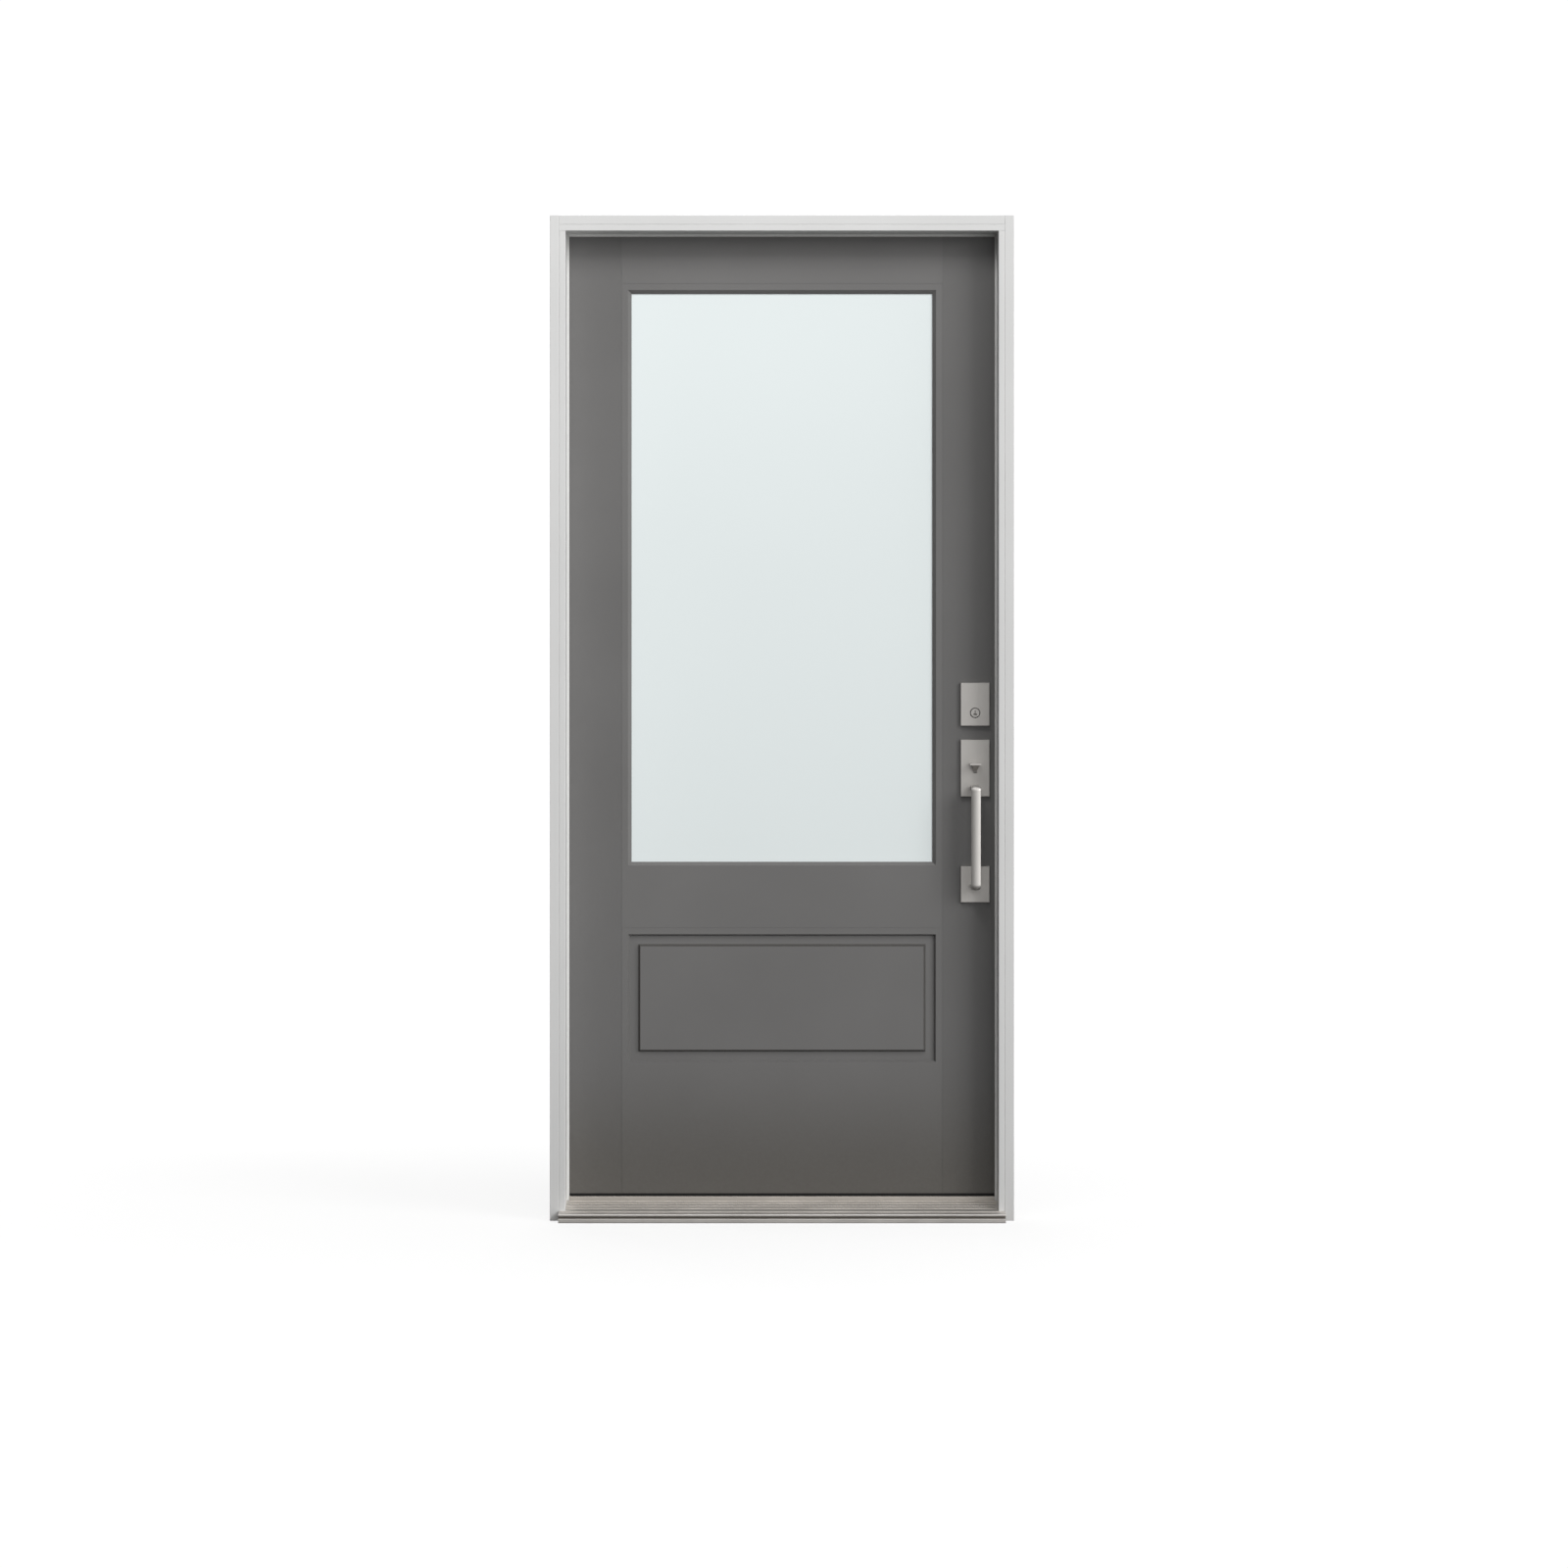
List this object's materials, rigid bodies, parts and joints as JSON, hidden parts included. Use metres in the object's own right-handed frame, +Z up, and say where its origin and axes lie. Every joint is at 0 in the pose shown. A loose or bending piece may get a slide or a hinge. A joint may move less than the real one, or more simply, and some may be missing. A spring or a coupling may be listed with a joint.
{
  "type": "fiberglass entrance door in its frame",
  "caption": "Inswing entrance door leaf with a tall glass lite over a raised panel, hung in a stop-planted frame with ribbed sill, lock and pull handle.",
  "frame": {"origin": "middle of the sill's flat underside, in the plane of the frame's outside face", "axes": "+X to the right seen from outside, +Y into the house, +Z up"},
  "size_m": [0.9524, 0.2065, 2.063],
  "materials": {
    "painted_frame_wood": "satin off-white exterior paint",
    "composite_sill_core": "filled composite, sawn ends",
    "mill_aluminium": "warm grey satin extrusion",
    "foam_seal": "pale skinned foam",
    "satin_nickel": "satin",
    "hinge_steel": "satin plated",
    "painted_fiberglass": "smooth grey satin paint",
    "slab_timber": "laminated timber",
    "insulating_foam": "cellular",
    "clear_glass": "polished, faintly translucent white",
    "spacer_aluminium": "mill",
    "painted_bead": "satin paint like the skins",
    "sweep_vinyl": "black, soft"
  },
  "bodies": {
    "frame": {"hinge_jamb": "painted_frame_wood", "strike_jamb": "painted_frame_wood", "head_jamb": "painted_frame_wood", "head_stop": "painted_frame_wood", "hinge_stop": "painted_frame_wood", "strike_stop": "painted_frame_wood", "sill_core": "composite_sill_core", "sill_tread": "mill_aluminium", "sill_cap": "mill_aluminium", "hinge_seal": "foam_seal", "strike_seal": "foam_seal", "head_seal": "foam_seal", "deadbolt_strike": "satin_nickel", "latch_strike": "satin_nickel", "upper_hinge_frame_leaf": "hinge_steel", "middle_hinge_frame_leaf": "hinge_steel", "lower_hinge_frame_leaf": "hinge_steel", "hinge_pins": "hinge_steel"},
    "door_leaf": {"exterior_skin": "painted_fiberglass", "interior_skin": "painted_fiberglass", "hinge_stile": "slab_timber", "lock_stile": "slab_timber", "top_rail": "slab_timber", "bottom_rail": "slab_timber", "foam_core": "insulating_foam", "glass_panes": "clear_glass", "glass_spacer": "spacer_aluminium", "glazing_bead": "painted_bead", "door_sweep": "sweep_vinyl", "upper_hinge_door_leaf": "hinge_steel", "middle_hinge_door_leaf": "hinge_steel", "lower_hinge_door_leaf": "hinge_steel", "deadbolt_faceplate": "satin_nickel", "deadbolt_bolt": "satin_nickel", "latch_faceplate": "satin_nickel", "latch_bolt": "satin_nickel", "deadbolt_plate": "satin_nickel", "lock_cylinder": "satin_nickel", "handle_plate": "satin_nickel", "grip_foot_plate": "satin_nickel", "pull_grip": "satin_nickel", "lever_plate": "satin_nickel", "inside_lever": "satin_nickel", "turn_plate": "satin_nickel", "thumb_turn": "satin_nickel"},
    "thumb_piece": {"thumb_piece": "satin_nickel"},
    "key_plug": {"key_plug": "satin_nickel"}
  },
  "joints": [
    {"name": "door_swing", "type": "hinge", "parent": "frame", "child": "door_leaf", "pos_m": [-0.4547, 0.1225, 1.095], "axis": [0, 0, 1], "range_deg": [0, 110]},
    {"name": "thumb_press", "type": "hinge", "parent": "door_leaf", "child": "thumb_piece", "pos_m": [0.399, 0.0622, 0.9215], "axis": [1, 0, 0], "range_deg": [0, 18], "stiffness_Nm_per_rad": 0.4, "springref_deg": -20.05},
    {"name": "key_turn", "type": "hinge", "parent": "door_leaf", "child": "key_plug", "pos_m": [0.399, 0.061, 1.0423], "axis": [0, 1, 0], "range_deg": [-90, 90]}
  ]
}
